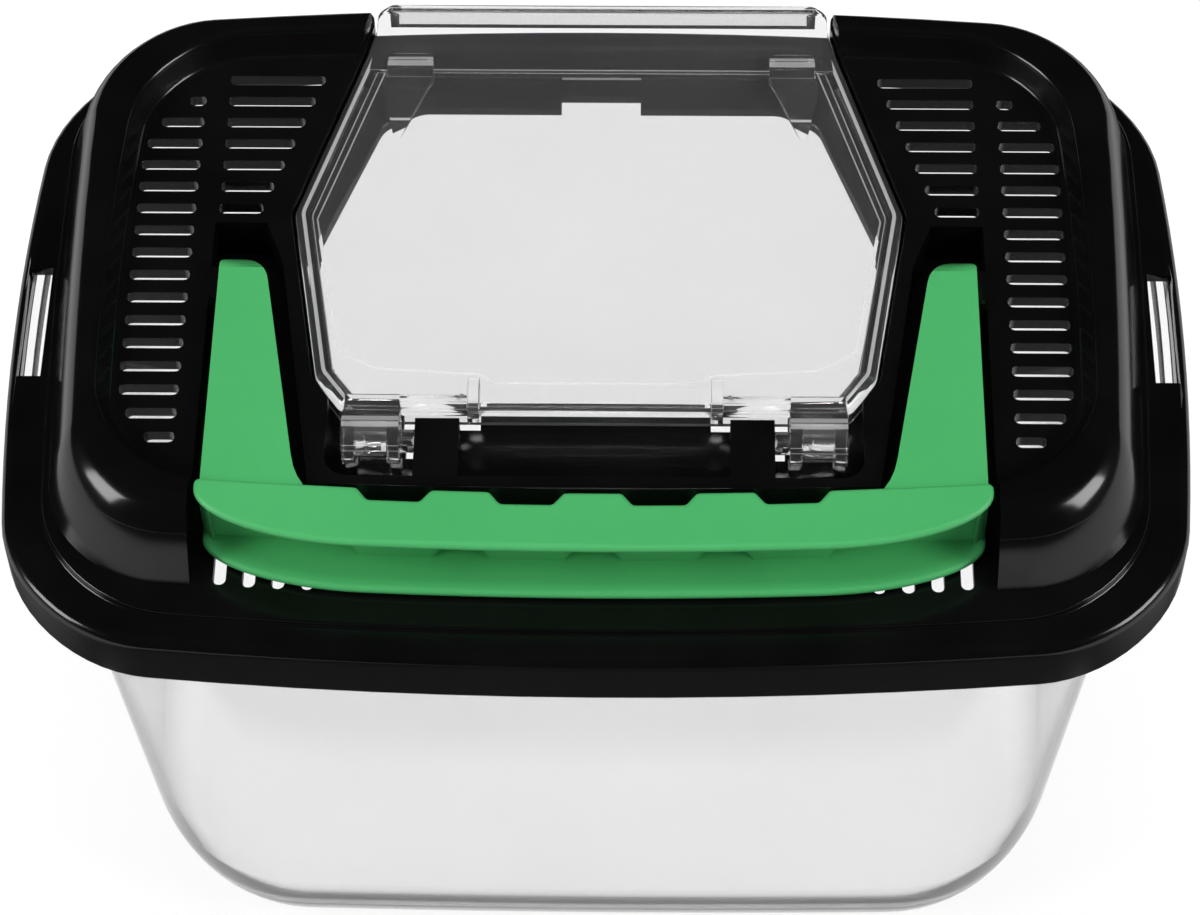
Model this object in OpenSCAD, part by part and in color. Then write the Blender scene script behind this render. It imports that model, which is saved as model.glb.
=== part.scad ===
// Small pet keeper: clear tapered tub, black push-on lid with vent panels, clear hinged door and
// green folding handle. Millimetres, +Z up, front towards -Y, origin at the centre of the base.

/* [Lid outline] */
// Overall width of the lid
lid_w = 208; // [200:1:225]
// Overall depth of the lid
lid_d = 140.4; // [138:0.2:150]
// Radius of the lid's front corners
lid_front_r = 23.5; // [20:0.5:28]
// Radius of the lid's back corners
lid_back_r = 27; // [22:0.5:30]
// How far each side bulges in plan
side_bow = 4.9; // [4:0.1:6]
// How far the front and back bulge in plan
front_bow = 5.7; // [5:0.1:6.5]
// Height of the skirt round the lid
skirt_h = 10.5; // [9:0.5:14]
// Thickness of the skirt
skirt_t = 1.6; // [1.2:0.1:2]
// Rounding of the skirt's upper edge
rim_round = 2; // [1:0.1:3]
// Wall thickness of the lid
lid_t = 2; // [1.6:0.1:2.4]

/* [Lid wings] */
// Height of the wings above the rim
wing_h = 14.5; // [13:0.5:18]
// Width of the rim beside the wings
rim_side = 5.4; // [4.8:0.1:7]
// Width of the rim in front of the wings
rim_front = 5.9; // [5:0.1:8]
// Width of the rim behind the wings
rim_back = 3.3; // [3:0.1:5]
// How much narrower the wings are at the front, each side
wing_taper = 3.2; // [2:0.1:4]
// How far the sides of the wings bulge in plan
wing_bow = 2; // [1:0.1:3]
// Depth of the low apron in front of the wings
apron_d = 5.6; // [4:0.1:7]
// Width of the sloping flank beside the wings
flank_side = 7.7; // [6:0.1:9]
// Width of the sloping flank in front of the wings
flank_front = 9.8; // [8:0.1:11]
// Width of the sloping flank behind the wings
flank_back = 4.2; // [3.6:0.1:5.5]
// Width of the crest, between flank and vent panel
crest_w = 6.5; // [6:0.1:7.4]
// Depth of the vent panels below the crest
panel_drop = 4.5; // [4:0.1:5]

/* [Vents] */
// Pitch of the vent slots
slot_pitch = 5; // [4.5:0.1:6]
// Width of a vent slot
slot_w = 2.2; // [1.8:0.1:2.6]
// Solid bar between the two slot columns
slot_bar = 4; // [3:0.1:6]
// Rows of slots in the outer column
outer_rows = 16; // [8:1:16]
// Rows of slots in the inner column
inner_rows = 7; // [3:1:7]
// Slots each side of the middle in the front shelf
shelf_slots = 13; // [6:1:13]
// Length of a shelf slot
shelf_slot_l = 9; // [6:0.5:10]

/* [Door opening] */
// Width across the widest part of the door
door_w = 108.4; // [104:0.5:110]
// Width of the door at the back
door_back_w = 83; // [76:0.5:86]
// Width of the door at the front
door_front_w = 89; // [88:0.5:94]
// Depth of the door ledge below the vent panels
ledge_drop = 5; // [4.6:0.1:6]
// Width of the ledge that carries the door
ledge_w = 4.8; // [4:0.1:7]
// Gap between the door and its recess
door_gap = 0.6; // [0.4:0.1:1]
// Width of the latch notch in the opening
notch_w = 14.5; // [10:0.5:20]
// Depth of the latch notch in the opening
notch_d = 3; // [2:0.1:4]

/* [Door] */
// Thickness of the door plate
door_t = 1.8; // [1.4:0.1:2.2]
// Thickness of the door's turned-down edge
door_edge_t = 1.6; // [1.2:0.1:2]
// How far the lip stands behind the lid's back wall
lip_reach = 6; // [4:0.1:7]
// Height of the lip's turned-down edge
lip_h = 7; // [5:0.1:8]
// Height of the wedges beside the thumb recess
wedge_h = 3; // [2:0.1:4]
// Height of the two fins
fin_h = 2.6; // [1.5:0.1:3.5]
// Distance between the two fins
fin_span = 42; // [36:0.5:46]

/* [Door hinge] */
// Radius of the door's pegs
peg_r = 2; // [1.6:0.1:2.4]
// Radial clearance of a peg in its bore
peg_clearance = 0.06; // [0.03:0.01:0.09]
// Radius of the knuckles
knuckle_r = 5; // [4.4:0.1:5.4]
// Width of a knuckle
knuckle_w = 9.8; // [8:0.1:11]
// Width of a lug
lug_w = 7.6; // [6:0.1:9]
// Gap between a lug and its knuckle
lug_gap = 2.6; // [2:0.1:3.4]
// Distance from the middle to a lug
lug_x = 23.2; // [21:0.1:24]
// Distance of the hinge axis in front of the middle
hinge_y = 29.7; // [29:0.1:31]

/* [Handle] */
// Overall width of the handle
handle_w = 134.4; // [132:0.2:138]
// Distance from the pivot to the grip's back edge
handle_reach = 47.5; // [47:0.1:48.5]
// Depth of the grip from back edge to front edge
grip_d = 11.5; // [10:0.1:12.2]
// How far the grip's middle bulges to the front
grip_bow = 2.6; // [2:0.1:3.2]
// Length of the curved part at each end of the grip's front edge
grip_end = 28; // [24:1:34]
// Height of the grip
grip_h = 13; // [12:0.1:13.4]
// Wall thickness of the handle
handle_t = 2.2; // [1.8:0.1:2.6]
// Thickness of the grip's upper and lower flange
flange_t = 1.6; // [1.4:0.1:2]
// How far the upper flange stands out beyond the arms, each side
flange_over = 0.7; // [0.4:0.1:1]
// How much further forward the lower flange reaches
lower_reach = 1.2; // [0.8:0.1:1.4]
// Width of an arm at the pivot
arm_w = 9.2; // [8.6:0.1:10]
// Width of an arm at the grip
arm_root_w = 16.8; // [15.4:0.1:17.6]
// Depth of the arms' upper side below the grip's
arm_drop = 2.1; // [1.6:0.1:2.6]
// Radius of the arm's round end
arm_end_r = 5.2; // [4.8:0.1:5.4]
// Radius of the pivot pegs
pivot_r = 2.5; // [2:0.1:2.8]
// Length of the pivot pegs
pivot_l = 3; // [2.5:0.1:3.4]
// Side gap between the handle and its channels
channel_gap = 1; // [0.6:0.1:1.4]
// Gap between an arm and the inner side of its channel
arm_gap = 1.8; // [1.4:0.1:2.2]
// Pitch of the finger notches
finger_pitch = 22.3; // [20:0.1:24]
// Width of a finger notch at its mouth
finger_w = 12.6; // [10:0.1:14]
// Depth of a finger notch
finger_d = 2.4; // [2:0.1:3]

/* [Tub] */
// Height of the tub
tub_h = 109; // [100:1:140]
// Distance of the tub's side walls inside the lid's outline
wall_in_side = 7; // [6:0.5:9]
// Distance of the tub's front and back walls inside the lid's outline
wall_in_front = 4.6; // [4.4:0.1:6]
// How much the tub narrows towards its base, on each side
side_taper = 11.7; // [8:0.1:14]
// How much the tub narrows towards its base, at the front and the back
front_taper = 4.6; // [3:0.1:6]
// Corner radius of the tub under its rim
tub_corner_r = 28; // [24:1:32]
// Corner radius of the base
base_corner_r = 29; // [20:1:32]
// Height of the rounding between walls and base
base_round_h = 17; // [10:1:22]
// Width lost to that rounding on each side
base_round_w = 5.5; // [3:0.5:8]
// Wall thickness of the tub
tub_t = 1.8; // [1.4:0.1:2.2]
// Height of the tub's turned-down rim
tub_rim_h = 5; // [3.5:0.1:6]
// Thickness of the tub's turned-down rim
tub_rim_t = 1.4; // [1.2:0.1:1.6]
// Gap between the tub's rim and the lid's skirt
rim_gap = 0.5; // [0.4:0.1:1]

/* [Hidden] */
corner_steps = 8;
side_steps = 4;
through = 30;

// Levels, from the tub's rim upwards
rim_z = tub_h + lid_t;
crest_z = rim_z + wing_h;
panel_z = crest_z - panel_drop;
ledge_z = panel_z - ledge_drop;
shelf_z = rim_z + 1;
skirt_z = rim_z - skirt_h;

// Plan outlines as corner points, counter-clockwise from the front left
function box_points(front_x, back_x, front_y, back_y) =
    [[-front_x, -front_y], [front_x, -front_y], [back_x, back_y], [-back_x, back_y]];
lid_x = lid_w / 2 - side_bow;
lid_y = lid_d / 2 - front_bow;
lid_r = [lid_front_r, lid_front_r, lid_back_r, lid_back_r];
foot_x = lid_w / 2 - rim_side - wing_bow;
foot_front = lid_y - rim_front;
foot_back = lid_y - rim_back;
step_w = 0.4;
crest_taper = 0.9;
foot = box_points(foot_x - wing_taper, foot_x, foot_front, foot_back);
flank = box_points(foot_x - wing_taper - 2 * step_w, foot_x - 2 * step_w,
    foot_front - apron_d, foot_back - 2 * step_w);
crest = box_points(foot_x - flank_side - wing_taper - crest_taper, foot_x - flank_side,
    foot_front - apron_d - flank_front, foot_back - flank_back);
foot_r = [22, 22, 21, 21];
flank_r = [19.5, 19.5, 20, 20];
crest_r = [16, 16, 18, 18];

// Vent panel field inside the crests
panel_x = foot_x - flank_side - crest_w;
crest_back_w = 2;
crest_front_w = 2.4;
panel_back = foot_back - flank_back - crest_back_w;
panel_front = foot_front - apron_d - flank_front - crest_front_w;
panel_r = 19.5;
panel_bow = 2.8;
first_row = 11;
row_end_r = 18;
row_back_in = 7.7;
row_front_in = 4.7;
column_x = handle_w / 2 + 4.6 - slot_bar / 2;

// Door recess and opening
back_wall_y = foot_back - flank_back + front_bow - 0.9;
door_wide_y = 18;
door_front_y = 18.7;
door_back_y = back_wall_y - 8;
door_shape = [
    [-door_front_w / 2 + 1, -door_front_y - 6], [door_front_w / 2 - 1, -door_front_y - 6],
    [door_front_w / 2 + 4, -door_front_y + 1], [door_w / 2, door_wide_y],
    [door_back_w / 2 + 1.4, back_wall_y - 6], [door_back_w / 2, back_wall_y + 0.6],
    [-door_back_w / 2, back_wall_y + 0.6], [-door_back_w / 2 - 1.4, back_wall_y - 6],
    [-door_w / 2, door_wide_y], [-door_front_w / 2 - 4, -door_front_y + 1]];
door_r = [3, 3, 5, 6, 4, 1, 1, 4, 6, 5];
opening_back = back_wall_y - 15.6;
opening_front = -19;
opening_half = [[door_front_w / 2 - 2, opening_front], [door_front_w / 2 + 2.1, opening_front + 5.5],
    [door_w / 2 - 2.7, door_wide_y - 9], [door_w / 2 - ledge_w, door_wide_y - 6],
    [door_w / 2 - ledge_w, door_wide_y - 3], [door_back_w / 2 - 1.8, opening_back - 4.2],
    [door_back_w / 2 - 8.6, opening_back]];
opening_shape = concat(opening_half, [for (i = [6 : -1 : 0]) [-opening_half[i][0], opening_half[i][1]]]);
opening_r = [3, 3, 1.4, 0.6, 3, 5, 5, 5, 5, 3, 0.6, 1.4, 3, 3];
door_top_z = panel_z - 0.5;
threshold_z = door_top_z - 1;
lip_z = threshold_z + 0.3 + door_t;
wedge_tip_y = door_back_y - 20;

// Door hinge
axis_y = -hinge_y;
axis_z = door_top_z - 2.2;
trough_z = axis_z - knuckle_r - 1;
trough_front = -hinge_y - knuckle_r - 4;
lug_out = lug_x + lug_w;
knuckle_x = lug_out + lug_gap;

// Handle
pivot_y = 2.6;
pivot_z = panel_z - 3.2;
arm_x = handle_w / 2;
arm_out = arm_x - flange_over;
grip_back = pivot_y - handle_reach;
grip_front = grip_back - grip_d;
grip_z = crest_z - grip_h;
channel_x = arm_x + channel_gap;
beam_front = grip_back + 0.5;
pocket_back = pivot_y + arm_end_r + 8;
pocket_narrow = 3.4;
grip_corner = 0.8;
finger_slope = 1.9;

// Tub
tub_rim_inset = skirt_t + rim_gap;
tub_wall_z = tub_h - tub_t / 2;
tub_x = lid_w / 2 - wall_in_side;
tub_y = lid_d / 2 - wall_in_front;
base_bow = 1.2;

function unit(v) = v / norm(v);
function blend(a, b, f) = a + (b - a) * f;
function outward(a, b) = let (d = unit(b - a)) [d[1], -d[0]];

// Outline p with every edge moved outwards by e
function grown(p, e) = let (n = len(p)) [for (i = [0 : n - 1])
    let (n1 = outward(p[(i + n - 1) % n], p[i]), n2 = outward(p[i], p[(i + 1) % n]))
    p[i] + (n1 + n2) * e / (1 + n1 * n2)];

// Arc that rounds corner b between neighbours a and c
function corner(a, b, c, r) =
    let (u = unit(a - b), v = unit(c - b), half = acos(u * v) / 2, turn = 180 - 2 * half,
        centre = b + unit(u + v) * r / sin(half),
        s = b + u * r / tan(half) - centre, e = b + v * r / tan(half) - centre)
    [for (k = [0 : corner_steps]) let (f = k / corner_steps)
        centre + (s * sin((1 - f) * turn) + e * sin(f * turn)) / sin(turn)];

// Outline p with rounded corners, and points along each side for the bow
function rounded(p, r, steps = 1) =
    let (n = len(p), arcs = [for (i = [0 : n - 1]) corner(p[(i + n - 1) % n], p[i], p[(i + 1) % n], r[i])])
    [for (i = [0 : n - 1]) each concat(arcs[i],
        [for (k = [1 : 1 : steps - 1]) blend(arcs[i][corner_steps], arcs[(i + 1) % n][0], k / steps)])];

// Outline q, as wide as 2x and as deep as 2y, with bulging sides
function bowed(q, x, y, bow_x, bow_y) = [for (p = q)
    [p[0] * (1 + bow_x / x * (1 - pow(p[1] / y, 2))), p[1] * (1 + bow_y / y * (1 - pow(p[0] / x, 2)))]];

// Point p moved back as the grip's ends are
function arched(p) = [p[0], p[1] + grip_bow * pow(p[0] / arm_x, 2)];

function lid_outline(inset) =
    bowed(rounded(box_points(lid_x - inset, lid_x - inset, lid_y - inset, lid_y - inset),
        [for (r = lid_r) r - inset], side_steps), lid_x, lid_y, side_bow, front_bow);

function wing_bowed(p, r, inset) =
    bowed(rounded(grown(p, -inset), [for (q = r) q - inset], side_steps),
        foot_x, foot_back, wing_bow, front_bow);

// Outline of the wings' flank, from its foot at f = 0 to the crest at f = 1
function wing_outline(f, inset) =
    wing_bowed([for (i = [0 : 3]) blend(flank[i], crest[i], f)],
        [for (i = [0 : 3]) blend(flank_r[i], crest_r[i], f)], inset);

function panel_outline(e) =
    bowed(rounded(box_points(panel_x + e, panel_x + e, panel_front + e, panel_back + e),
        [for (i = [0 : 3]) panel_r + e], side_steps), panel_x, panel_back, panel_bow, panel_bow);

// Outline of the tub, from its base at f = 0 to its rim at f = 1
function tub_outline(f, inset) =
    let (bow_x = blend(base_bow, side_bow, f), bow_y = blend(base_bow, front_bow, f),
        x = tub_x - (1 - f) * side_taper - bow_x, y = tub_y - (1 - f) * front_taper - bow_y,
        r = blend(base_corner_r, tub_corner_r, f))
    bowed(rounded(box_points(x - inset, x - inset, y - inset, y - inset),
        [for (i = [0 : 3]) r - inset], side_steps), x, y, bow_x, bow_y);

// Solid through a stack of outlines with equal numbers of points
module loft(outlines, heights) {
    n = len(outlines[0]);
    m = len(outlines);
    points = [for (k = [0 : m - 1], p = outlines[k]) [p[0], p[1], heights[k]]];
    sides = [for (k = [0 : m - 2], i = [0 : n - 1])
        [k * n + i, (k + 1) * n + i, (k + 1) * n + (i + 1) % n, k * n + (i + 1) % n]];
    polyhedron(points, concat([[for (i = [0 : n - 1]) i]], sides,
        [[for (i = [n - 1 : -1 : 0]) (m - 1) * n + i]]), convexity = 4);
}

module prism(outline, low, high) {
    translate([0, 0, low])
        linear_extrude(high - low)
            polygon(outline);
}

module both_sides() {
    children();
    mirror([1, 0, 0])
        children();
}

module x_rod(r, x0, x1, y, z) {
    translate([x0, y, z])
        rotate([0, 90, 0])
            cylinder(r = r, h = x1 - x0, $fn = 48);
}

// A box from corner to corner
module block(low, high) {
    translate(low)
        cube(high - low);
}

// ---- Tub ----

// Share of the wall's taper at height z, and the rounding's inset there
function tub_share(z) = z / tub_wall_z;
function round_inset(z) =
    z >= base_round_h ? 0 : base_round_w * (1 - sqrt(1 - pow(1 - z / base_round_h, 2)));

module tub_solid(inset, floor_z) {
    levels = concat([for (k = [0 : 4]) blend(floor_z, base_round_h, 1 - cos(k * 22.5))], [tub_wall_z]);
    loft([for (z = levels) tub_outline(tub_share(z), inset + round_inset(z - floor_z))], levels);
}

module tub() {
    color([0.85, 0.88, 0.88, 0.35])
        difference() {
            union() {
                tub_solid(0, 0);
                prism(lid_outline(tub_rim_inset), tub_h - tub_rim_h, tub_h);
            }
            difference() {
                prism(lid_outline(tub_rim_inset + tub_rim_t), tub_h - tub_rim_h - 1, tub_h - tub_t);
                tub_solid(0, 0);
            }
            tub_solid(tub_t, tub_t);
            prism(tub_outline(1, tub_t), tub_wall_z - 1, tub_h + 1);
        }
}

// ---- Lid ----

module lid_shell() {
    loft([lid_outline(0), lid_outline(0), lid_outline(rim_round * 0.3), lid_outline(rim_round),
        wing_bowed(foot, foot_r, 0), wing_bowed(foot, foot_r, step_w),
        wing_outline(0, 0), wing_outline(0.45, 0), wing_outline(0.8, 0), wing_outline(1, 0)],
        [skirt_z, rim_z - rim_round, rim_z - rim_round * 0.3, rim_z,
        rim_z, shelf_z, shelf_z, rim_z + wing_h * 0.7, rim_z + wing_h * 0.93, crest_z]);
}

module lid_cavity() {
    loft([lid_outline(skirt_t), lid_outline(skirt_t),
        wing_outline(0, lid_t), wing_outline(0.45, lid_t), wing_outline(0.8, lid_t)],
        [skirt_z - 1, tub_h, tub_h, rim_z + wing_h * 0.7 - lid_t, crest_z - lid_t]);
}

// Everything lowered from the crest, grown by e and deepened by e for the walls that line it
module panel_field(e) {
    prism(panel_outline(e), panel_z - e, crest_z + through);
    block([-channel_x - e, beam_front - 1 - e, panel_z - e], [channel_x + e, -panel_front + 20, crest_z + through]);
}

module bay(e) {
    x = channel_x + e;
    prism(concat([[-x, -lid_d], [x, -lid_d]],
        [for (k = [1 : -0.125 : -1]) arched([x * k, beam_front + e])]), shelf_z - e, crest_z + through);
}

module channels(e) {
    inner_back = arm_out - arm_w - arm_gap;
    inner_front = arm_out - arm_root_w - arm_gap;
    both_sides()
        prism(grown([[inner_front, beam_front - 1], [channel_x, beam_front - 1], [channel_x, pocket_back],
            [inner_back + pocket_narrow, pocket_back], [inner_back, pivot_y + 4.4]], e),
            shelf_z - e, crest_z + through);
}

module door_recess(e) {
    prism(rounded(grown(door_shape, door_gap + e), door_r), ledge_z - e, crest_z + through);
}

module hinge_trough(e) {
    half = door_front_w / 2 + 1.5;
    prism(rounded(grown(box_points(half, half, -trough_front, opening_front + 4), e), [4, 4, 1, 1]),
        trough_z - e, crest_z + through);
}

module back_step() {
    block([-door_back_w / 2 - door_gap, door_back_y, threshold_z],
        [door_back_w / 2 + door_gap, lid_d, crest_z + through]);
    block([-door_back_w / 2 - door_gap, back_wall_y, rim_z],
        [door_back_w / 2 + door_gap, lid_d, crest_z + through]);
}

module recesses(e) {
    panel_field(e);
    bay(e);
    channels(e);
    door_recess(e);
    hinge_trough(e);
}

module opening() {
    prism(rounded(opening_shape, opening_r), skirt_z, panel_z);
    block([-notch_w / 2, opening_back - 1, skirt_z], [notch_w / 2, opening_back + notch_d, panel_z]);
    both_sides()
        block([fin_span / 2 - 1, axis_y + 4.5, skirt_z], [knuckle_x, opening_front + 1, panel_z]);
}

module slot(x0, x1, y) {
    r = slot_w / 2;
    translate([0, 0, ledge_z - lid_t])
        linear_extrude(through) {
            translate([x0 + r, y - r])
                square([x1 - x0 - slot_w, slot_w]);
            for (x = [x0 + r, x1 - r])
                translate([x, y])
                    circle(r = r, $fn = 24);
        }
}

// Outer end of a slot row, held inside the panel's rounded back and front corners
function row_end(y) =
    let (r = row_end_r, back = panel_back - row_back_in, front = panel_front - row_front_in,
        over = max(0, y - (back - r), -(front - r) - y), x = panel_x)
    x - r + sqrt(max(0, r * r - over * over));

module vents() {
    back_y = panel_back - first_row;
    both_sides() {
        for (j = [0 : outer_rows - 1])
            slot(column_x + slot_bar / 2, row_end(back_y - j * slot_pitch), back_y - j * slot_pitch);
        for (j = [-1 : inner_rows - 2])
            slot(door_back_w / 2 + 10.4 + j * 1.57, column_x - slot_bar / 2, back_y - j * slot_pitch);
        for (x = [3.3 : slot_pitch : 3.3 + (shelf_slots - 1) * slot_pitch])
            translate([x, grip_front + 1.3 + 1.5 * pow(x / arm_x, 8), shelf_z - lid_t - 1])
                linear_extrude(lid_t + 2) {
                    translate([-slot_w / 2, 0])
                        square([slot_w, shelf_slot_l - slot_w / 2]);
                    circle(r = slot_w / 2, $fn = 24);
                }
    }
}

module snap_windows() {
    both_sides()
        block([foot_x + 1.4, -11, tub_h - 1], [lid_w / 2 - skirt_t, 13, rim_z + 0.5]);
}

module lugs() {
    both_sides() {
        block([lug_x, trough_front - 0.5, trough_z - 0.5], [lug_out, axis_y + 3, panel_z]);
    }
}

module lid() {
    color([0.05, 0.05, 0.055])
        difference() {
            union() {
                difference() {
                    lid_shell();
                    recesses(0);
                    back_step();
                    difference() {
                        lid_cavity();
                        recesses(lid_t);
                        block([-door_back_w / 2 - door_gap - lid_t, back_wall_y - lid_t, tub_h],
                            [door_back_w / 2 + door_gap + lid_t, lid_d, crest_z]);
                        block([-door_back_w / 2 - door_gap - lid_t, door_back_y - lid_t, threshold_z - lid_t],
                            [door_back_w / 2 + door_gap + lid_t, lid_d, crest_z]);
                    }
                }
                lugs();
                both_sides()
                    intersection() {
                        x_rod(pivot_r + 2, channel_x, channel_x + pivot_l + 0.6, pivot_y, pivot_z);
                        block([0, -lid_d, tub_h], [lid_w, lid_d, panel_z]);
                    }
            }
            opening();
            vents();
            snap_windows();
            both_sides() {
                x_rod(peg_r + peg_clearance, lug_x - 1, lug_out + 1, axis_y, axis_z);
                x_rod(pivot_r + peg_clearance, channel_x - 1, channel_x + pivot_l, pivot_y, pivot_z);
                block([lug_out, axis_y - 3, trough_z - lid_t - 1], [lug_out + lug_gap - 0.2, axis_y + 3, trough_z + 1]);
            }
        }
}

// ---- Door ----

module door_plate() {
    difference() {
        prism(rounded(door_shape, door_r), ledge_z, door_top_z);
        prism(rounded(grown(door_shape, -door_edge_t), door_r), ledge_z - 1, door_top_z - door_t);
        block([-door_back_w, door_back_y - door_gap, ledge_z - 1], [door_back_w, lid_d, threshold_z + 0.3]);
    }
}

module door_lip() {
    half = door_back_w / 2;
    tip = back_wall_y + lip_reach;
    outline = [[-half, door_back_y], [half, door_back_y], [half, tip - 3], [half - 3.6, tip],
        [-half + 3.6, tip], [-half, tip - 3]];
    difference() {
        prism(outline, lip_z - lip_h, lip_z);
        block([-door_w, back_wall_y - 9, lip_z - lip_h - 1], [door_w, tip - door_t, lip_z - door_t]);
    }
}

module door_wedges() {
    both_sides()
        intersection() {
            prism([[door_back_w / 2 - 10.8, door_back_y + 0.7], [door_back_w / 2 - 10.8, door_back_y - 5.3],
                [door_back_w / 2 - 4.6, wedge_tip_y], [door_back_w / 2 - 2.1, door_back_y - 8.8],
                [door_back_w / 2 - 2.7, door_back_y + 0.7]], door_top_z - 0.2, door_top_z + wedge_h);
            rotate([90, 0, 90])
                linear_extrude(door_w)
                    polygon([[wedge_tip_y, door_top_z - 1], [wedge_tip_y, door_top_z],
                        [door_back_y - 4, door_top_z + wedge_h], [door_back_y + 1, door_top_z + wedge_h],
                        [door_back_y + 1, door_top_z - 1]]);
        }
}

module door() {
    color([0.9, 0.92, 0.92, 0.35])
        union() {
            door_plate();
            door_lip();
            door_wedges();
            both_sides() {
                block([fin_span / 2 - 1, axis_y + 3.2, ledge_z],
                    [fin_span / 2 + 1, opening_front, door_top_z + fin_h]);
                x_rod(knuckle_r, knuckle_x, knuckle_x + knuckle_w, axis_y, axis_z);
                block([knuckle_x, axis_y, axis_z - 1], [knuckle_x + knuckle_w, -door_front_y - 5, door_top_z]);
                x_rod(peg_r, lug_x + 1, knuckle_x + 1, axis_y, axis_z);
            }
        }
}

// ---- Handle ----

// Back edge of the grip with its four finger notches, from right to left
function notch(x) = [[x + finger_w / 2, grip_back], [x + finger_w / 2 - finger_slope, grip_back - finger_d],
    [x - finger_w / 2 + finger_slope, grip_back - finger_d], [x - finger_w / 2, grip_back]];
function grip_back_edge(half) = concat([[half, grip_back], [half - grip_end / 2, grip_back]],
    [for (k = [1.5 : -1 : -1.5]) each notch(k * finger_pitch)],
    [[-half + grip_end / 2, grip_back], [-half, grip_back]]);

// Left half of the front edge: elliptical at the end, straight in the middle
function grip_end_edge(half, depth) = concat(
    [for (t = [0 : 10 : 90]) [-half + grip_end * (1 - cos(t)),
        grip_back - 2 * grip_corner - (depth - 2 * grip_corner) * sin(t)]],
    [for (k = [0.75, 0.5, 0.25]) [(-half + grip_end) * k, grip_back - depth]]);
function grip_outline(half, depth) = let (left = grip_end_edge(half, depth), n = len(left))
    [for (p = concat(left, [for (i = [n - 1 : -1 : 0]) [-left[i][0], left[i][1]]],
        grip_back_edge(half - grip_corner))) arched(p)];

module grip() {
    half = arm_out - flange_t;
    difference() {
        union() {
            prism(grip_outline(arm_x, grip_d), crest_z - flange_t, crest_z);
            prism(grip_outline(arm_out, grip_d - 1), grip_z, crest_z);
            prism(grip_outline(arm_out, grip_d + lower_reach), grip_z, grip_z + flange_t);
        }
        translate([0, -handle_t, 0])
            prism(concat([[-half, grip_front - 20], [half, grip_front - 20]],
                [for (p = grip_back_edge(half)) arched(p)]), grip_z + flange_t, crest_z - flange_t);
    }
}

module arm_side(e) {
    r = arm_end_r - e;
    x_rod(r, arm_out - arm_root_w - 1, arm_out + 1, pivot_y, pivot_z);
    translate([arm_out + 1, 0, 0])
        rotate([90, 0, -90])
            linear_extrude(arm_root_w + 2)
                polygon([[-pivot_y, pivot_z - r], [-grip_back, pivot_z - r + 1], [-grip_back, crest_z - arm_drop - e],
                    [-pivot_y + 2, pivot_z + r]]);
}

module arm_plan(e) {
    back = pivot_y + arm_end_r + 1;
    prism(rounded([[arm_out - arm_root_w + e, grip_back], [arm_out - e, grip_back],
        [arm_out - e, back], [arm_out - arm_w + e, back], [arm_out - arm_w + e, pivot_y - 2]],
        [0.4, 0.4, 0.8, 4, 4]), grip_z - 10, crest_z + 10);
}

module arm() {
    difference() {
        intersection() {
            arm_side(0);
            arm_plan(0);
        }
        intersection() {
            translate([0, 0, -handle_t - 6])
                arm_side(-6);
            arm_plan(handle_t);
            block([0, grip_back + grip_bow + handle_t, grip_z - 10], [lid_w, pivot_y - arm_end_r - 1, crest_z]);
        }
    }
}

module handle() {
    color([0.2, 0.62, 0.33])
        union() {
            grip();
            both_sides() {
                arm();
                x_rod(pivot_r, arm_out - 2, arm_x + channel_gap + pivot_l - 0.4, pivot_y, pivot_z);
            }
        }
}

tub();
lid();
door();
handle();
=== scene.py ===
"""Looks of the small pet keeper: clear tub, black lid, clear door, green handle.

Lengths are in mm until mesh() turns them into metres. X is to the right, Y to the back, Z up.
"""

import math

import bmesh
import bpy
from mathutils import Matrix, Vector

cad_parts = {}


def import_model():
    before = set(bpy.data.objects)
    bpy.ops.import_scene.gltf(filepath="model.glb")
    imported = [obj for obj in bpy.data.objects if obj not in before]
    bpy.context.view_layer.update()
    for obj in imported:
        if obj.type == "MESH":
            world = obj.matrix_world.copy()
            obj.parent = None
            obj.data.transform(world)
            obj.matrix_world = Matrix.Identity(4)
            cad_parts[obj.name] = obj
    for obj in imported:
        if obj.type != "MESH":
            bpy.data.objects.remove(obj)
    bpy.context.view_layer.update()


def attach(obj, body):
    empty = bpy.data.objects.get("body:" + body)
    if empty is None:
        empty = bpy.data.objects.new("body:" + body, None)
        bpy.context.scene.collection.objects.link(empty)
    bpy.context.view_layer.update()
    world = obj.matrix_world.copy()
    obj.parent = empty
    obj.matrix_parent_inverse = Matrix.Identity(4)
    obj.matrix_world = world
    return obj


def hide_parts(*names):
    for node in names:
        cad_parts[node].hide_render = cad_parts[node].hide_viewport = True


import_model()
scene = bpy.context.scene
MM = 0.001

# ---- Sizes, after the solids ----
LID_W, LID_D, SIDE_BOW, FRONT_BOW = 208.0, 140.4, 4.9, 5.7
FRONT_R, BACK_R = 23.5, 27.0
SKIRT_Z, TUB_H, RIM_Z, SHELF_Z, LEDGE_Z = 100.5, 109.0, 111.0, 112.0, 116.0
PLATE_Z, PANEL_Z, BEAD_Z, CREST_Z = 120.5, 121.0, 121.5, 125.5
ABOVE = CREST_Z + 30  # clear of every surface, for the open ends of cutters
SKIRT_T, LID_T, RIM_ROUND, CREST_ROUND = 1.6, 2.0, 2.0, 1.3
LID_X, LID_Y = LID_W / 2 - SIDE_BOW, LID_D / 2 - FRONT_BOW

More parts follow.
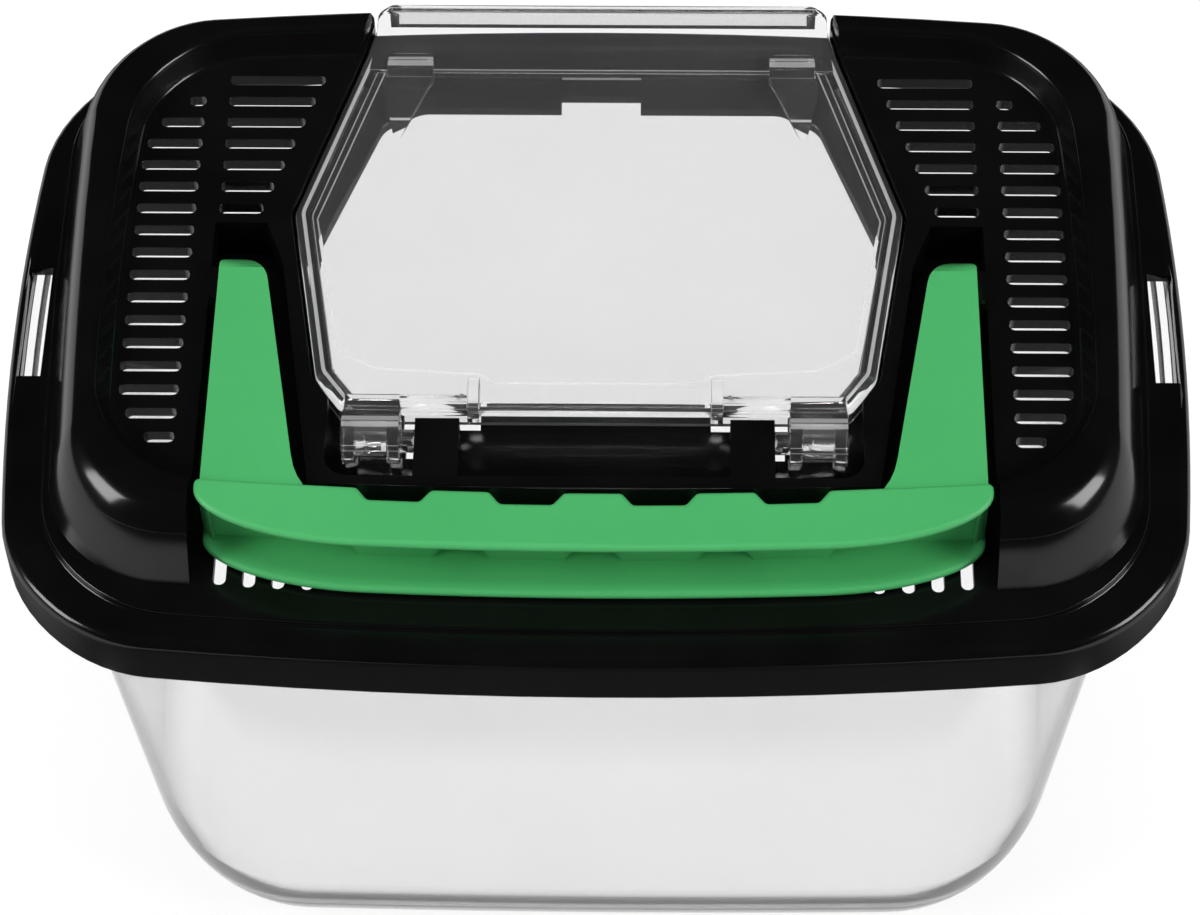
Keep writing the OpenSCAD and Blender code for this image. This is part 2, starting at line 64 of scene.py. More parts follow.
# the lid's raised wings: the foot of their flanks, and how far in the crest lies
FOOT_X, FOOT_FRONT, FOOT_BACK, WING_BOW = 96.7, 58.6, 61.2, 2.0
WING_TAPER, STEP_W, APRON_D, CREST_TAPER = 3.2, 0.8, 5.6, 0.9
FLANK_SIDE, FLANK_FRONT, FLANK_BACK = 7.7, 9.8, 4.2
PANEL_X, PANEL_FRONT, PANEL_BACK, PANEL_R, PANEL_BOW = 82.5, 40.8, 55, 19.5, 2.8

# the tub: half its size at the top, how much less it is at the base, and the base's own shape
TUB_X, TUB_Y, SIDE_TAPER, FRONT_TAPER = 97, 65.6, 11.7, 4.6
BASE_BOW, BASE_R = 1.2, 29

# ---- Plan outlines: lists of (x, y), counter-clockwise from the front left ----
ARC, SIDE = 14, 12  # steps round a corner and along a side, unless a call says otherwise


def box_points(front_x, back_x, front_y, back_y):
    return [(-front_x, -front_y), (front_x, -front_y), (back_x, back_y), (-back_x, back_y)]


def grown(p, e):
    """Outline p with every edge moved outwards by e."""
    out, n = [], len(p)
    for i in range(n):
        a, b, c = Vector(p[i - 1]), Vector(p[i]), Vector(p[(i + 1) % n])
        u, v = (b - a).normalized(), (c - b).normalized()
        n1, n2 = Vector((u.y, -u.x)), Vector((v.y, -v.x))
        out.append(tuple(b + (n1 + n2) * e / (1 + n1.dot(n2))))
    return out


def rounded(p, r, steps=SIDE, arc=ARC):
    """Outline p with corner i rounded to radius r[i], or kept where that is 0."""
    n, arcs = len(p), []
    for i in range(n):
        a, b, c = Vector(p[i - 1]), Vector(p[i]), Vector(p[(i + 1) % n])
        if not r[i]:
            arcs.append([b])
            continue
        u, v = (a - b).normalized(), (c - b).normalized()
        half = math.acos(max(-1, min(1, u.dot(v)))) / 2
        turn = math.pi - 2 * half
        rad = max(r[i], 0.05)
        centre = b + (u + v).normalized() * rad / math.sin(half)
        s, e = b + u * rad / math.tan(half) - centre, b + v * rad / math.tan(half) - centre
        arcs.append([centre + (s * math.sin((1 - k / arc) * turn) + e * math.sin(k / arc * turn))
                     / math.sin(turn) for k in range(arc + 1)])
    out = []
    for i in range(n):
        out += [tuple(q) for q in arcs[i]]
        a, b = arcs[i][-1], arcs[(i + 1) % n][0]
        out += [tuple(a.lerp(b, k / steps)) for k in range(1, steps)]
    return out


def bowed(q, x, y, bx, by):
    """Outline q, which is 2x wide and 2y deep, with its sides bulging by bx and by."""
    return [(u * (1 + bx / x * (1 - (v / y) ** 2)), v * (1 + by / y * (1 - (u / x) ** 2))) for u, v in q]


def mix(a, b, f):
    return [tuple(u + (v - u) * f for u, v in zip(p, q)) for p, q in zip(a, b)]


def mirrored(half):
    """Right half of an outline, from its front to its back, completed on the left."""
    return half + [(-x, y) for x, y in half[::-1]]


def lid_outline(inset):
    q = rounded(box_points(LID_X - inset, LID_X - inset, LID_Y - inset, LID_Y - inset),
                [FRONT_R - inset, FRONT_R - inset, BACK_R - inset, BACK_R - inset])
    return bowed(q, LID_X, LID_Y, SIDE_BOW, FRONT_BOW)


FOOT = box_points(FOOT_X - WING_TAPER, FOOT_X, FOOT_FRONT, FOOT_BACK)
FLANK = box_points(FOOT_X - WING_TAPER - STEP_W, FOOT_X - STEP_W, FOOT_FRONT - APRON_D, FOOT_BACK - STEP_W)
CREST = box_points(FOOT_X - FLANK_SIDE - WING_TAPER - CREST_TAPER, FOOT_X - FLANK_SIDE,
                   FOOT_FRONT - APRON_D - FLANK_FRONT, FOOT_BACK - FLANK_BACK)
FOOT_R, FLANK_R, CREST_R = [22, 22, 21, 21], [19.5, 19.5, 20, 20], [16, 16, 18, 18]


def wing_bowed(p, r, inset):
    return bowed(rounded(grown(p, -inset), [q - inset for q in r]), FOOT_X, FOOT_BACK, WING_BOW, FRONT_BOW)


def wing_outline(f, inset):
    """Outline of the wings at the share f of the way in from the flank's foot to the crest."""
    r = [a + (b - a) * f - inset for a, b in zip(FLANK_R, CREST_R)]
    return wing_bowed(mix(FLANK, CREST, f), [q + inset for q in r], inset)


def panel_outline(e):
    q = rounded(box_points(PANEL_X + e, PANEL_X + e, PANEL_FRONT + e, PANEL_BACK + e), [PANEL_R + e] * 4)
    return bowed(q, PANEL_X, PANEL_BACK, PANEL_BOW, PANEL_BOW)


def tub_outline(f, inset):
    """Outline of the tub at the share f of its height."""
    bx, by = BASE_BOW + (SIDE_BOW - BASE_BOW) * f, BASE_BOW + (FRONT_BOW - BASE_BOW) * f
    x, y = TUB_X - (1 - f) * SIDE_TAPER - bx, TUB_Y - (1 - f) * FRONT_TAPER - by
    q = rounded(box_points(x - inset, x - inset, y - inset, y - inset), [BASE_R - f - inset] * 4)
    return bowed(q, x, y, bx, by)


# ---- Meshes ----
CIRCLE_STEPS = 40
FLAT_ANGLE, SHARP_ANGLE = 0.4, 32  # degrees: faces are merged below the one, edges rounded above the other
FLAT_CORNERS, FLAT_AREA = 9, 15  # a face with this many corners and mm2 is shaded flat


def mesh(name, verts, faces, mat=None):
    """A mesh object from points in mm, with outward faces."""
    me = bpy.data.meshes.new(name)
    me.from_pydata([tuple(c * MM for c in v) for v in verts], [], faces)
    bm = bmesh.new()
    bm.from_mesh(me)
    bmesh.ops.remove_doubles(bm, verts=bm.verts, dist=1e-7)
    bmesh.ops.recalc_face_normals(bm, faces=bm.faces)
    bm.to_mesh(me)
    bm.free()
    ob = bpy.data.objects.new(name, me)
    scene.collection.objects.link(ob)
    if mat:
        me.materials.append(mat)
    return ob


def loft(name, rings, mat=None):
    """Solid through rings of (outline, z), capped at both ends."""
    n, m = len(rings[0][0]), len(rings)
    verts = [(p[0], p[1], z) for q, z in rings for p in q]
    faces = []
    for k in range(m - 1):
        a, b = k * n, (k + 1) * n
        faces += [(a + i, a + (i + 1) % n, b + (i + 1) % n, b + i) for i in range(n)]
    faces += [tuple(range(n - 1, -1, -1)), tuple(range((m - 1) * n, m * n))]
    return mesh(name, verts, faces, mat)


def prism(outline, low, high):
    return loft("cut", [(outline, low), (outline, high)])


def block(low, high):
    (x0, y0, z0), (x1, y1, z1) = low, high
    return prism([(x0, y0), (x1, y0), (x1, y1), (x0, y1)], z0, z1)


def extrude_x(profile, x0, x1):
    """Prism of a (y, z) profile along X."""
    n = len(profile)
    verts = [(x, y, z) for x in (x0, x1) for y, z in profile]
    faces = [(i, (i + 1) % n, n + (i + 1) % n, n + i) for i in range(n)]
    return mesh("cut", verts, faces + [tuple(range(n - 1, -1, -1)), tuple(range(n, 2 * n))])


def circle(r, y, z):
    turn = [2 * math.pi * k / CIRCLE_STEPS for k in range(CIRCLE_STEPS)]
    return [(y + r * math.cos(a), z + r * math.sin(a)) for a in turn]


def x_rod(r, x0, x1, y, z):
    return extrude_x(circle(r, y, z), min(x0, x1), max(x0, x1))


def flared(outline, low, top, flare, steps, high):
    """Cutter from low to high, whose edge is rounded off where it meets the flat face at top."""
    rings = [(outline(0), low), (outline(0), top - flare)]
    rings += [(outline(flare * d), top - flare * (1 - s)) for s, d in arc_points(steps)[1:]]
    return loft("cut", rings + [(outline(flare), high)])


def arc_points(count):
    """(way up, way in) from 0 to 1 along a quarter circle."""
    turn = [math.pi / 2 * k / count for k in range(count + 1)]
    return [(math.sin(a), 1 - math.cos(a)) for a in turn]


def flipped(ob):
    """A copy of ob mirrored in X."""
    me = ob.data.copy()
    me.transform(Matrix.Scale(-1, 4, (1, 0, 0)))
    me.flip_normals()
    new = bpy.data.objects.new(ob.name, me)
    scene.collection.objects.link(new)
    return new


def both(ob):
    return [ob, flipped(ob)]


def joined(obs):
    """One object with the meshes of obs, which are used up."""
    bm = bmesh.new()
    for o in obs:
        bm.from_mesh(o.data)
    me = bpy.data.meshes.new("joined")
    bm.to_mesh(me)
    bm.free()
    for o in obs:
        bpy.data.objects.remove(o)
    ob = bpy.data.objects.new("joined", me)
    scene.collection.objects.link(ob)
    return ob


def apply(ob):
    """Applies ob's modifiers."""
    deps = bpy.context.evaluated_depsgraph_get()
    me = bpy.data.meshes.new_from_object(ob.evaluated_get(deps))
    old, ob.data = ob.data, me
    ob.modifiers.clear()
    bpy.data.meshes.remove(old)


def boolean(ob, other, how):
    """Ob changed by other, which is used up."""
    mod = ob.modifiers.new("b", "BOOLEAN")
    mod.operation, mod.object, mod.solver = how, other, "EXACT"
    apply(ob)
    bpy.data.objects.remove(other)
    return ob


def cut(ob, *others):
    for o in others:
        boolean(ob, o, "DIFFERENCE")
    return ob


def add(ob, *others):
    for o in others:
        boolean(ob, o, "UNION")
    return ob


def tidy(ob, short=0):
    """Merges what the cuts left in flat places, and closes edges shorter than short."""
    bm = bmesh.new()
    bm.from_mesh(ob.data)
    bmesh.ops.remove_doubles(bm, verts=bm.verts, dist=2e-6)
    bmesh.ops.dissolve_limit(bm, angle_limit=math.radians(FLAT_ANGLE), verts=bm.verts, edges=bm.edges)
    if short:
        bmesh.ops.dissolve_degenerate(bm, dist=short * MM, edges=bm.edges)
    bm.to_mesh(ob.data)
    bm.free()


def round_edges(ob, width, segments=2):
    """Rounds the sharp edges, but not those that run into an edge too short for it."""
    bm = bmesh.new()
    bm.from_mesh(ob.data)
    weight = bm.edges.layers.float.new("bevel_weight_edge")
    tight = {v for e in bm.edges if e.calc_length() < 2 * width * MM for v in e.verts}
    for e in bm.edges:
        sharp = len(e.link_faces) == 2 and e.calc_face_angle(0) > math.radians(SHARP_ANGLE)
        e[weight] = float(sharp and not tight.intersection(e.verts))
    bm.to_mesh(ob.data)
    bm.free()
    mod = ob.modifiers.new("round", "BEVEL")
    mod.width, mod.segments, mod.limit_method = width * MM, segments, "WEIGHT"
    mod.use_clamp_overlap = True
    mod.harden_normals = False
    apply(ob)


def finished(ob, mat):
    """Shades the curved places smooth and the large flat ones flat."""
    for p in ob.data.polygons:
        p.use_smooth = len(p.vertices) < FLAT_CORNERS or p.area < FLAT_AREA * MM * MM
    mod = ob.modifiers.new("normals", "WEIGHTED_NORMAL")
    mod.weight, mod.keep_sharp = 80, True
    apply(ob)
    ob.data.materials.clear()
    ob.data.materials.append(mat)
    return ob


# ---- Material helpers ----
def material(name):
    mat = bpy.data.materials.new(name)
    mat.use_nodes = True
    return mat, mat.node_tree, mat.node_tree.nodes["Principled BSDF"]


def noise(tree, scale, detail):
    geo = tree.nodes.new("ShaderNodeTexCoord")
    tex = tree.nodes.new("ShaderNodeTexNoise")
    tex.inputs["Scale"].default_value = scale
    tex.inputs["Detail"].default_value = detail
    tree.links.new(geo.outputs["Object"], tex.inputs["Vector"])
    return tex.outputs["Fac"]


def ranged(tree, value, low, high, to_low, to_high):
    node = tree.nodes.new("ShaderNodeMapRange")
    for i, v in enumerate((low, high, to_low, to_high)):
        node.inputs[i + 1].default_value = v
    tree.links.new(value, node.inputs[0])
    return node.outputs[0]


def ramp(tree, value, stops):
    node = tree.nodes.new("ShaderNodeValToRGB")
    el = node.color_ramp.elements
    for i, (pos, col) in enumerate(stops):
        e = el[i] if i < 2 else el.new(pos)
        e.position, e.color = pos, (*col, 1)
    tree.links.new(value, node.inputs[0])
    return node.outputs[0]


def bump(tree, shader, height, strength, distance):
    node = tree.nodes.new("ShaderNodeBump")
    node.inputs["Strength"].default_value = strength
    node.inputs["Distance"].default_value = distance
    tree.links.new(height, node.inputs["Height"])
    tree.links.new(node.outputs[0], shader.inputs["Normal"])


def maths(tree, how, a, b=None):
    """Math node on sockets or numbers."""
    node = tree.nodes.new("ShaderNodeMath")
    node.operation = how
    for i, v in enumerate((a, b)):
        if isinstance(v, (int, float)):
            node.inputs[i].default_value = v
        elif v is not None:
            tree.links.new(v, node.inputs[i])
    return node.outputs[0]


def axis(tree, output, name):
    geo = tree.nodes.new("ShaderNodeTexCoord")
    split = tree.nodes.new("ShaderNodeSeparateXYZ")
    tree.links.new(geo.outputs[output], split.inputs[0])
    return split.outputs[name]


def chosen(tree, mask, a, b):
    """a where mask is 0, b where it is 1; either may be a number or a socket."""
    node = tree.nodes.new("ShaderNodeMix")
    tree.links.new(mask, node.inputs[0])
    for i, v in ((2, a), (3, b)):
        if isinstance(v, (int, float)):
            node.inputs[i].default_value = v
        else:
            tree.links.new(v, node.inputs[i])
    return node.outputs[0]


def at_height(tree, z, reach):
    """1 within reach of the height z, else 0, in the piece's own coordinates."""
    off = maths(tree, "ABSOLUTE", maths(tree, "SUBTRACT", axis(tree, "Object", "Z"), z * MM))
    return ranged(tree, off, reach * MM, reach * 1.3 * MM, 1, 0)


# ---- Materials ----
PAD_FOLD_Z, WEDGE_CREST_Z = 120.61, 123.42  # heights of two of the door's edges that get a painted highlight


def black_plastic():
    """Glossy, with a finer, duller grain on the vent panels."""
    mat, t, s = material("black_lid")
    t.links.new(ramp(t, noise(t, 60, 4), [(0.35, (0.0030, 0.0030, 0.0032)), (0.7, (0.0048, 0.0046, 0.0047))]),
                s.inputs["Base Color"])
    glossy = ranged(t, noise(t, 160, 3), 0.3, 0.75, 0.13, 0.18)
    t.links.new(chosen(t, at_height(t, PANEL_Z, 0.1), glossy, 0.3), s.inputs["Roughness"])
    s.inputs["IOR"].default_value = 1.49
    bump(t, s, noise(t, 2200, 2), 0.05, 0.00004)
    return mat


def green_plastic():
    mat, t, s = material("green_handle")
    t.links.new(ramp(t, noise(t, 30, 3), [(0.3, (0.077, 0.485, 0.151)), (0.7, (0.086, 0.515, 0.165))]),
                s.inputs["Base Color"])
    t.links.new(ranged(t, noise(t, 500, 3), 0.3, 0.7, 0.38, 0.46), s.inputs["Roughness"])
    s.inputs["IOR"].default_value = 1.46
    s.inputs["Subsurface Weight"].default_value = 0.08
    s.inputs["Subsurface Radius"].default_value = (0.001, 0.003, 0.001)
    s.inputs["Subsurface Scale"].default_value = 0.5
    bump(t, s, noise(t, 900, 2), 0.05, 0.0001)
    return mat


def clear_plastic(name, tint, rough, haze, edges=()):
    """Clear plastic, a little milky. edges holds (z, reach, haze) for painted highlights: paler bands of
    extra haze within reach of the height z.
    """
    mat, t, s = material(name)
    s.inputs["Base Color"].default_value = (*tint, 1)
    s.inputs["IOR"].default_value = 1.5
    weight = ranged(t, noise(t, 25, 3), 0.3, 0.7, 1 - haze * 1.15, 1 - haze * 0.85)
    # painted highlights: a band near each given height gets extra haze, so it reads pale like a lit edge
    for z, reach, highlight_haze in edges:
        weight = chosen(t, at_height(t, z, reach), weight, 1 - highlight_haze)
    t.links.new(weight, s.inputs["Transmission Weight"])
    t.links.new(ranged(t, noise(t, 90, 3), 0.35, 0.75, rough, rough + 0.03), s.inputs["Roughness"])
    return mat


BLACK, GREEN = black_plastic(), green_plastic()
CLEAR_TUB = clear_plastic("clear_tub", (0.99, 0.99, 0.992), 0.015, 0.06)
# the door's bead, pad fold and wedge crest carry painted highlights as paler bands of extra haze
CLEAR_DOOR = clear_plastic("clear_door", (0.9, 0.9, 0.905), 0.008, 0.04,
                           ((BEAD_Z, 0.04, 0.5), (PAD_FOLD_Z, 0.05, 0.4), (WEDGE_CREST_Z, 0.06, 0.35)))

# ---- Tub ----
TUB_T, FOOT_ROUND_H, FOOT_ROUND_W = 1.8, 17.0, 5.5
TUB_RIM_T, TUB_RIM_H, TUB_RIM_INSET = 1.4, 5.0, 2.1


def tub_wall(inset, floor_z, upto):
    """Rings of the wall, from its rounded foot up."""
    rings = []
    for k in range(11):
        a = k / 10 * math.pi / 2
        z = floor_z + (FOOT_ROUND_H - floor_z) * (1 - math.cos(a))
        lost = FOOT_ROUND_W * (1 - math.sqrt(max(0, 1 - (1 - (z - floor_z) / FOOT_ROUND_H) ** 2)))
        rings.append((tub_outline(z / TUB_H, inset + lost), z))
    for k in range(1, 9):
        z = FOOT_ROUND_H + (upto - FOOT_ROUND_H) * k / 8
        rings.append((tub_outline(z / TUB_H, inset), z))
    return rings


def tub_rim():
    """Rings from the wall out under the flange, down inside the rim, round its foot and up over the top."""
    wall, inner = tub_outline(1, 0), lid_outline(TUB_RIM_INSET + TUB_RIM_T)
    low = TUB_H - TUB_RIM_H
    rings = [(mix(wall, inner, f), TUB_H - down)
             for f, down in ((0.03, 2.5), (0.12, 1.98), (0.4, TUB_T), (0.85, TUB_T), (0.98, 2.1))]
    rings += [(inner, TUB_H - 2.5), (inner, low + 0.2)]
    rings += [(lid_outline(TUB_RIM_INSET + e), z) for e, z in
              ((TUB_RIM_T - 0.2, low), (0.2, low), (0, low + 0.25), (0, TUB_H - 0.9), (0.15, TUB_H - 0.35),
               (0.5, TUB_H - 0.05), (1.1, TUB_H))]
    return rings


def tub():
    rings = tub_wall(0, 0, TUB_H - 3.2) + tub_rim()
    rings += [(tub_outline(1, TUB_T - e), TUB_H - down) for e, down in ((0.7, 0), (0.15, 0.15), (0, 0.8))]
    rings += tub_wall(TUB_T, TUB_T, TUB_H - 2.5)[::-1]
    ob = loft("tub_clear", rings, CLEAR_TUB)
    for p in ob.data.polygons:
        p.use_smooth = len(p.vertices) == 4
    return ob


# ---- Places shared by the lid, the door and the handle ----
WALL_Y, DOOR_BACK = 61.8, 41.5  # the lid's back wall, and half the door's width there
BAND, LIP_REACH = 10.5, 6.9  # the door's raised band before the back wall, and its lip behind it
DOOR_GAP = 0.6
DOOR = mirrored([(43.5, -24.7), (48.5, -17.7), (54.2, 18), (DOOR_BACK + 1.4, WALL_Y - 6),
                 (DOOR_BACK, WALL_Y + 0.6)])
DOOR_R = [3, 5, 6, 4, 1, 1, 4, 6, 5, 3]
OPEN_BACK = WALL_Y - 15.6
OPENING = mirrored([(42.5, -19), (46.6, -13.5), (51.5, 9), (49.4, 12), (49.4, 15), (39.7, 42),
                    (32.9, OPEN_BACK)])
OPENING_R = [3, 3, 1.4, 0.6, 3, 5, 5, 5, 5, 3, 0.6, 1.4, 3, 3]
AXIS_Y, AXIS_Z, PEG_R = -29.7, 118.3, 2  # the door's hinge
PIVOT_Y, PIVOT_Z, PIVOT_R = 2.6, 117.8, 2.5  # the handle's hinge
PEG_GAP = 0.06
TROUGH_Z, TROUGH_FRONT = 112.3, -38.7
LUG_X, LUG_OUT = 23.2, 30.8
KNUCKLE_IN, KNUCKLE_OUT = 33.4, 43.2
FIN_X, FIN_T = 20, 2
GRIP_X, ARM_X, GRIP_BACK, GRIP_FRONT = 67.2, 66.5, -44.9, -56.4
CHANNEL_X, BEAM_Y = 68.2, GRIP_BACK + 0.5


def arched(q):
    """Outline q bent as the grip is."""
    return [(x, y + 2.6 * (x / GRIP_X) ** 2) for x, y in q]


# ---- Lid: each recess is grown by e to make the wall that lines it ----
THRESHOLD_Z, PANEL_EXTRA = 119.5, 0.45  # the sill under the door's band; the vent panels' extra thickness
SLOT_PITCH, SLOT_R, SLOT_FLARE = 5, 1.1, 0.1
FIRST_ROW, OUTER_ROWS, INNER_ROWS = 44, 16, 7
BAR_IN, BAR_OUT = 67.8, 71.8  # the bar between the inner and the outer rows
ROW_END_R, ROW_BACK, ROW_FRONT = 18, 29.3, -18.1
SHELF_SLOTS, SHELF_SLOT_X, SHELF_SLOT_L = 13, 3.3, 9


def flank_profile(count):
    """(share of the way in, height) from the foot of the wing's flank to its crest, along a Bezier curve."""
    pts, out = [(0, SHELF_Z), (0.26, SHELF_Z + 5.2), (0.52, CREST_Z + 0.05), (1, CREST_Z)], []
    for k in range(count + 1):
        t = k / count
        c = [(1 - t) ** 3, 3 * t * (1 - t) ** 2, 3 * t * t * (1 - t), t ** 3]
        way, z = (sum(a * p[i] for a, p in zip(c, pts)) for i in (0, 1))
        out.append((way, min(CREST_Z, z)))
    return out


def lid_shell():
    skirt = [(0.35, SKIRT_Z), (0.1, SKIRT_Z + 0.12), (0, SKIRT_Z + 0.4), (0, RIM_Z - 6),
             (0, RIM_Z - RIM_ROUND)]
    skirt += [(RIM_ROUND * d, RIM_Z - RIM_ROUND * (1 - s)) for s, d in arc_points(6)[1:]]
    step = [(-0.25, RIM_Z), (-0.02, RIM_Z + 0.12), (0.06, RIM_Z + 0.4), (0.14, SHELF_Z - 0.3),
            (0.24, SHELF_Z - 0.06), (0.42, SHELF_Z)]
    rings = [(lid_outline(inset), z) for inset, z in skirt]
    rings += [(wing_bowed(FOOT, FOOT_R, inset), z) for inset, z in step]
    rings.append((mix(wing_bowed(FOOT, FOOT_R, 0.55), wing_outline(0, 0), 0.85), SHELF_Z))
    rings += [(wing_outline(f, 0), z) for f, z in flank_profile(12)]
    rings += [(panel_outline(1.9 - CREST_ROUND * s), CREST_Z - CREST_ROUND * (1 - math.sqrt(1 - s * s)))
              for s in (0, 0.4, 0.7, 0.9, 1)]
    rings += [(panel_outline(-e), PANEL_Z + up) for e, up in ((0.5, 1.6), (0.9, 0.6), (1.3, 0.15), (2.0, 0))]
    return loft("lid_black", rings)


def lid_cavity():
    rings = [(lid_outline(SKIRT_T), SKIRT_Z - 1), (lid_outline(SKIRT_T), TUB_H),
             (wing_outline(0, LID_T), TUB_H)]
    rings += [(wing_outline(f, LID_T), z - LID_T) for f, z in flank_profile(8)[1:-2]]
    return loft("cavity", rings)


def bay(e):
    x = CHANNEL_X + e
    back = arched([(x * (1 - k / 8), BEAM_Y + e) for k in range(17)])
    return prism([(-x, -LID_D), (x, -LID_D)] + back, SHELF_Z - e, ABOVE)


def channel(e):
    p = [(47.8, BEAM_Y - 1), (CHANNEL_X, BEAM_Y - 1), (CHANNEL_X, 15.8), (59, 15.8), (55.6, 7)]
    return both(prism(grown(p, e), SHELF_Z - e, ABOVE))


def door_hole(e):
    def outline(g):
        return rounded(grown(DOOR, DOOR_GAP + g), [r + g for r in DOOR_R], 2, 8)
    if e:
        return prism(rounded(grown(DOOR, DOOR_GAP + e), DOOR_R, 2, 6), LEDGE_Z - e, ABOVE)
    return flared(outline, LEDGE_Z, PANEL_Z, 0.35, 3, ABOVE)


def trough(e):
    p = box_points(46, 46, -TROUGH_FRONT, -15)
    return prism(rounded(grown(p, e), [4 + e, 4 + e, 1, 1], 2, 8), TROUGH_Z - e, ABOVE)


def back_step(e):
    x = DOOR_BACK + DOOR_GAP + e
    return [block([-x, WALL_Y - 8 - e, THRESHOLD_Z - e], [x, LID_D, ABOVE]),
            block([-x, WALL_Y - 2.1 - e, TUB_H if e else RIM_Z], [x, LID_D, ABOVE])]


def recesses(e):
    obs = [bay(e), *channel(e), door_hole(e), trough(e)]
    if e:
        obs.append(prism(panel_outline(e), PANEL_Z - e - PANEL_EXTRA, ABOVE))
    return obs


def slot(x0, x1, y, low, top):
    def end(x, start, r):
        turn = [math.radians(start + 180 * k / 8) for k in range(9)]
        return [(x + r * math.cos(a), y + r * math.sin(a)) for a in turn]

    def outline(g):
        return end(x1 - SLOT_R, -90, SLOT_R + g) + end(x0 + SLOT_R, 90, SLOT_R + g)
    return flared(outline, low, top, SLOT_FLARE, 2, top + 2)


def row_end(y):
    """Outer end of a slot row, held inside the panel's rounded corners."""
    over = max(0, y - ROW_BACK, ROW_FRONT - y)
    return PANEL_X - ROW_END_R + math.sqrt(max(0, ROW_END_R ** 2 - over * over))


def vents():
    obs = []
    for j in range(OUTER_ROWS):
        y = FIRST_ROW - SLOT_PITCH * j
        obs.append(slot(BAR_OUT, row_end(y), y, PANEL_Z - 5, PANEL_Z))
    for j in range(-1, INNER_ROWS - 1):
        y = FIRST_ROW - SLOT_PITCH * j
        obs.append(slot(51.9 + 1.57 * j, BAR_IN, y, PANEL_Z - 5, PANEL_Z))
    for k in range(SHELF_SLOTS):
        x = SHELF_SLOT_X + SLOT_PITCH * k
        y = GRIP_FRONT + 0.2 + 1.5 * (x / ARM_X) ** 8
        s = slot(y, y + SHELF_SLOT_L, x, SHELF_Z - 3, SHELF_Z)
        s.data.transform(Matrix(((0, 1, 0, 0), (1, 0, 0, 0), (0, 0, 1, 0), (0, 0, 0, 1))))
        s.data.flip_normals()
        obs.append(s)
    return joined([c for o in obs for c in both(o)])


def boss():
    """Sleeve for the handle's peg, cut off level with the vent panel."""
    rod = x_rod(PIVOT_R + 2, ARM_X + 0.25, CHANNEL_X + 3.6, PIVOT_Y, PIVOT_Z)
    return boolean(rod, block([0, -LID_D, TUB_H], [LID_W, LID_D, PANEL_Z - 0.01]), "INTERSECT")


def opening():
    """The way into the tub, with the finger notch at its back."""
    hole = loft("cut", [(rounded(grown(OPENING, e), OPENING_R, 2, 8), z)
                        for e, z in ((0, SKIRT_Z), (0, LEDGE_Z - 0.3), (0.3, LEDGE_Z), (0.3, PANEL_Z))])
    return [hole, block([-7.25, OPEN_BACK - 1, SKIRT_Z], [7.25, OPEN_BACK + 3, PANEL_Z])]


def lid():
    ob = lid_shell()
    cut(ob, *recesses(0), *back_step(0))
    inner = lid_cavity()
    cut(inner, *recesses(LID_T), *back_step(LID_T))
    cut(ob, inner)
    add(ob, *both(block([LUG_X, TROUGH_FRONT - 0.5, TROUGH_Z - 0.5], [LUG_OUT, AXIS_Y + 3, PANEL_Z])))
    add(ob, *both(boss()))
    cut(ob, *opening())
    cut(ob, *both(block([FIN_X, AXIS_Y + 6.6, SKIRT_Z], [KNUCKLE_IN, -18, PANEL_Z])))
    cut(ob, vents())
    cut(ob, *both(block([FOOT_X + 1.4, -11, TUB_H - 1], [LID_W / 2 - SKIRT_T, 13, RIM_Z + 0.5])))
    cut(ob, *both(x_rod(PEG_R + PEG_GAP, LUG_X - 1, LUG_OUT + 1, AXIS_Y, AXIS_Z)))
    cut(ob, *both(x_rod(PIVOT_R + PEG_GAP, ARM_X, CHANNEL_X + 3, PIVOT_Y, PIVOT_Z)))
    cut(ob, *both(block([LUG_OUT, AXIS_Y + 0.5, TROUGH_Z - 3], [LUG_OUT + 2, AXIS_Y + 3.9, TROUGH_Z + 1])))
    tidy(ob)
    round_edges(ob, 0.18)
    return finished(ob, BLACK)


# ---- Door ----
DOOR_T, DOOR_EDGE_T = 1.8, 1.6
LIP_Z, LIP_H, LIP_R = 121.6, 7, 3
KNUCKLE_R = 4.7


def door_shell():
    def plate(e):
        return rounded(grown(DOOR, e), [max(0.5, r + e) for r in DOOR_R], 2, 8)

    def shoulder(inset, r, top):
        return [(plate(-inset - r * d), top - r * (1 - s)) for s, d in arc_points(5)]
    ob = loft("door", [(plate(-0.15), LEDGE_Z), (plate(0), LEDGE_Z + 0.2)] + shoulder(0, 1.5, BEAD_Z))
    dish = [(plate(-e), PLATE_Z + up) for e, up in
            ((3.5, 0), (3.2, 0.05), (2.9, 0.25), (2.5, 0.65), (2.1, 0.9), (1.7, 1), (1.7, 4))]
    cut(ob, loft("cut", dish), block([-20.6, -40, PLATE_Z], [20.6, -18, CREST_Z]))
    under = [(plate(-DOOR_EDGE_T), LEDGE_Z - 1)] + shoulder(DOOR_EDGE_T, 0.9, PLATE_Z - DOOR_T)
    cut(ob, loft("cut", under))
    pad = mirrored([(18, -19.2), (20, -17.4), (38.5, -16.2), (45.2, -12.4), (50.4, 17), (39.4, 53), (38, 56)])
    add(ob, loft("pad", [(pad, PLATE_Z - 0.2), (pad, PLATE_Z), (grown(pad, -0.6), PLATE_Z + 0.22)]))
    return cut(ob, block([-80, WALL_Y - BAND - DOOR_GAP, LEDGE_Z - 1], [80, LID_D, THRESHOLD_Z + 0.3]))


